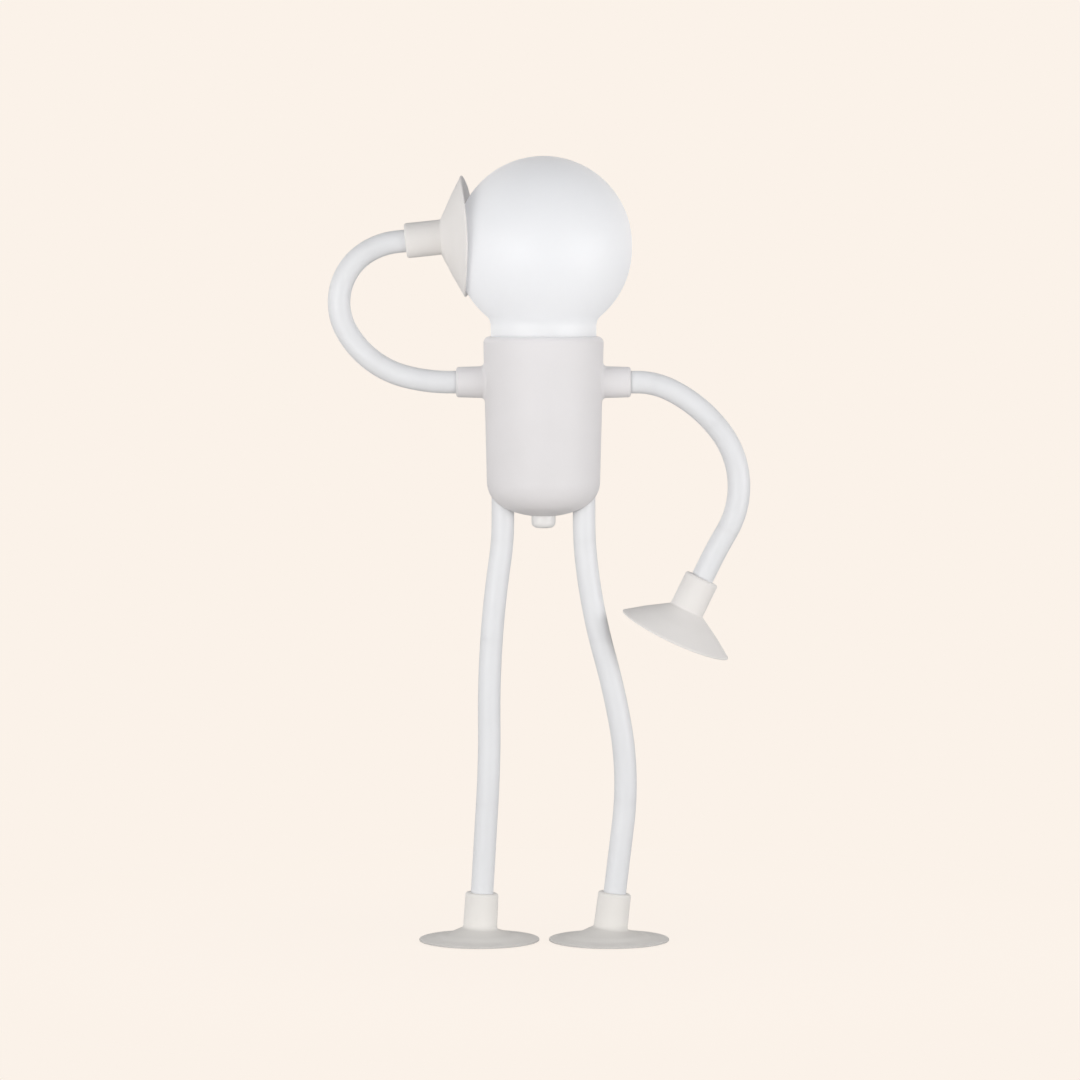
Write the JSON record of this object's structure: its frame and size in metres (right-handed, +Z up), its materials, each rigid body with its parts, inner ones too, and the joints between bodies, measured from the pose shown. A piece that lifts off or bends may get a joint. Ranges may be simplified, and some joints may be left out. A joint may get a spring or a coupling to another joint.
{
  "type": "night light",
  "caption": "Desk night light shaped as a standing figure: milky globe head, cup-shaped torso with a push button below, bendable arms and legs ending in suction cups.",
  "frame": {"origin": "on the standing surface, straight below the torso axis, between the two feet", "axes": "+Z up along the torso axis; the front faces -Y; the raised hand is on the -X side"},
  "size_m": [0.1402, 0.0586, 0.2613],
  "materials": {
    "globe_plastic": "milky, glossy",
    "torso_plastic": "fine matte, warm off-white",
    "cup_rubber": "matte, warm off-white",
    "sleeve_rubber": "satin, cool white",
    "button_plastic": "satin, pale",
    "bend_wire": "bare",
    "brass_part": "bare",
    "steel_part": "bare",
    "socket_metal": "bright",
    "white_board": "solder mask",
    "green_board": "solder mask",
    "lamp_chip": "phosphor",
    "tray_plastic": "moulded",
    "dark_plastic": "moulded",
    "cell_wrap": "shrink wrap",
    "red_lead": "insulation",
    "black_lead": "insulation"
  },
  "bodies": {
    "torso": {"globe": "globe_plastic", "light_tray": "tray_plastic", "led_board": "white_board", "led_chips": "lamp_chip", "tray_screws": "steel_part", "torso_shell": "torso_plastic", "cell_cradle": "dark_plastic", "battery_cell": "cell_wrap", "cell_straps": "steel_part", "cell_leads": "red_lead", "led_leads": "black_lead", "control_board": "green_board", "board_parts": "dark_plastic", "board_screws": "steel_part", "usb_socket": "socket_metal", "switch_body": "dark_plastic", "arm_anchors": "brass_part", "leg_anchors": "brass_part", "root_wires": "bend_wire", "left_arm_root": "sleeve_rubber", "right_arm_root": "sleeve_rubber", "left_leg_root": "sleeve_rubber", "right_leg_root": "sleeve_rubber"},
    "button": {"push_button": "button_plastic", "switch_plunger": "dark_plastic"},
    "left_upper_arm": {"left_upper_arm_sleeve": "sleeve_rubber", "left_upper_arm_wire": "bend_wire"},
    "left_mid_arm": {"left_mid_arm_sleeve": "sleeve_rubber", "left_mid_arm_wire": "bend_wire"},
    "left_hand": {"left_hand_plug": "sleeve_rubber", "left_hand_cup": "cup_rubber"},
    "right_upper_arm": {"right_upper_arm_sleeve": "sleeve_rubber", "right_upper_arm_wire": "bend_wire"},
    "right_mid_arm": {"right_mid_arm_sleeve": "sleeve_rubber", "right_mid_arm_wire": "bend_wire"},
    "right_forearm": {"right_forearm_sleeve": "sleeve_rubber", "right_forearm_wire": "bend_wire"},
    "right_hand": {"right_hand_plug": "sleeve_rubber", "right_hand_cup": "cup_rubber"},
    "left_hip": {"left_hip_sleeve": "sleeve_rubber", "left_hip_wire": "bend_wire"},
    "left_thigh": {"left_thigh_sleeve": "sleeve_rubber", "left_thigh_wire": "bend_wire"},
    "left_shin": {"left_shin_sleeve": "sleeve_rubber", "left_shin_wire": "bend_wire"},
    "left_foot": {"left_foot_plug": "sleeve_rubber", "left_foot_cup": "cup_rubber"},
    "right_hip": {"right_hip_sleeve": "sleeve_rubber", "right_hip_wire": "bend_wire"},
    "right_thigh": {"right_thigh_sleeve": "sleeve_rubber", "right_thigh_wire": "bend_wire"},
    "right_shin": {"right_shin_sleeve": "sleeve_rubber", "right_shin_wire": "bend_wire"},
    "right_foot": {"right_foot_plug": "sleeve_rubber", "right_foot_cup": "cup_rubber"}
  },
  "joints": [
    {"name": "left_shoulder_lift", "type": "hinge", "parent": "torso", "child": "left_upper_arm", "pos_m": [-0.031, 0, 0.1865], "axis": [0, -1, 0], "range_deg": [0, 40]},
    {"name": "left_elbow_bend", "type": "hinge", "parent": "left_upper_arm", "child": "left_mid_arm", "pos_m": [-0.04577, 0, 0.18838], "axis": [0, -1, 0], "range_deg": [0, 40]},
    {"name": "left_wrist_tilt", "type": "hinge", "parent": "left_mid_arm", "child": "left_hand", "pos_m": [-0.04773, 0, 0.23307], "axis": [0, -1, 0], "range_deg": [-9, 0]},
    {"name": "right_shoulder_swing", "type": "hinge", "parent": "torso", "child": "right_upper_arm", "pos_m": [0.031, 0, 0.1865], "axis": [0, 0, 1], "range_deg": [-40, 40]},
    {"name": "right_arm_lift", "type": "hinge", "parent": "right_upper_arm", "child": "right_mid_arm", "pos_m": [0.04221, 0, 0.18388], "axis": [0, -1, 0], "range_deg": [-4, 40]},
    {"name": "right_elbow_bend", "type": "hinge", "parent": "right_mid_arm", "child": "right_forearm", "pos_m": [0.06491, 0, 0.15352], "axis": [0, -1, 0], "range_deg": [-4, 40]},
    {"name": "right_wrist_tilt", "type": "hinge", "parent": "right_forearm", "child": "right_hand", "pos_m": [0.0537, 0, 0.1231], "axis": [0.8988, 0, -0.4384], "range_deg": [-40, 40]},
    {"name": "left_hip_swing", "type": "hinge", "parent": "torso", "child": "left_hip", "pos_m": [-0.0135, 0, 0.1406], "axis": [-1, 0, 0], "range_deg": [-40, 40]},
    {"name": "left_hip_spread", "type": "hinge", "parent": "left_hip", "child": "left_thigh", "pos_m": [-0.01448, 0, 0.12715], "axis": [0, 1, 0], "range_deg": [0, 35]},
    {"name": "left_knee_bend", "type": "hinge", "parent": "left_thigh", "child": "left_shin", "pos_m": [-0.0181, 0, 0.07332], "axis": [1, 0, 0], "range_deg": [-40, 40]},
    {"name": "left_ankle_tilt", "type": "hinge", "parent": "left_shin", "child": "left_foot", "pos_m": [-0.0204, 0, 0.018], "axis": [-1, 0, 0], "range_deg": [-40, 40]},
    {"name": "right_hip_swing", "type": "hinge", "parent": "torso", "child": "right_hip", "pos_m": [0.0135, 0, 0.1406], "axis": [-1, 0, 0], "range_deg": [-40, 40]},
    {"name": "right_hip_spread", "type": "hinge", "parent": "right_hip", "child": "right_thigh", "pos_m": [0.01424, 0, 0.12713], "axis": [0, -1, 0], "range_deg": [0, 10]},
    {"name": "right_knee_bend", "type": "hinge", "parent": "right_thigh", "child": "right_shin", "pos_m": [0.02553, 0, 0.07284], "axis": [1, 0, 0], "range_deg": [-40, 40]},
    {"name": "right_ankle_tilt", "type": "hinge", "parent": "right_shin", "child": "right_foot", "pos_m": [0.02406, 0, 0.018], "axis": [-1, 0, 0], "range_deg": [-40, 40]},
    {"name": "button_press", "type": "slide", "parent": "torso", "child": "button", "axis": [0, 0, 1], "range_m": [0, 0.001], "stiffness_N_per_m": 400, "springref_m": -0.0005}
  ]
}
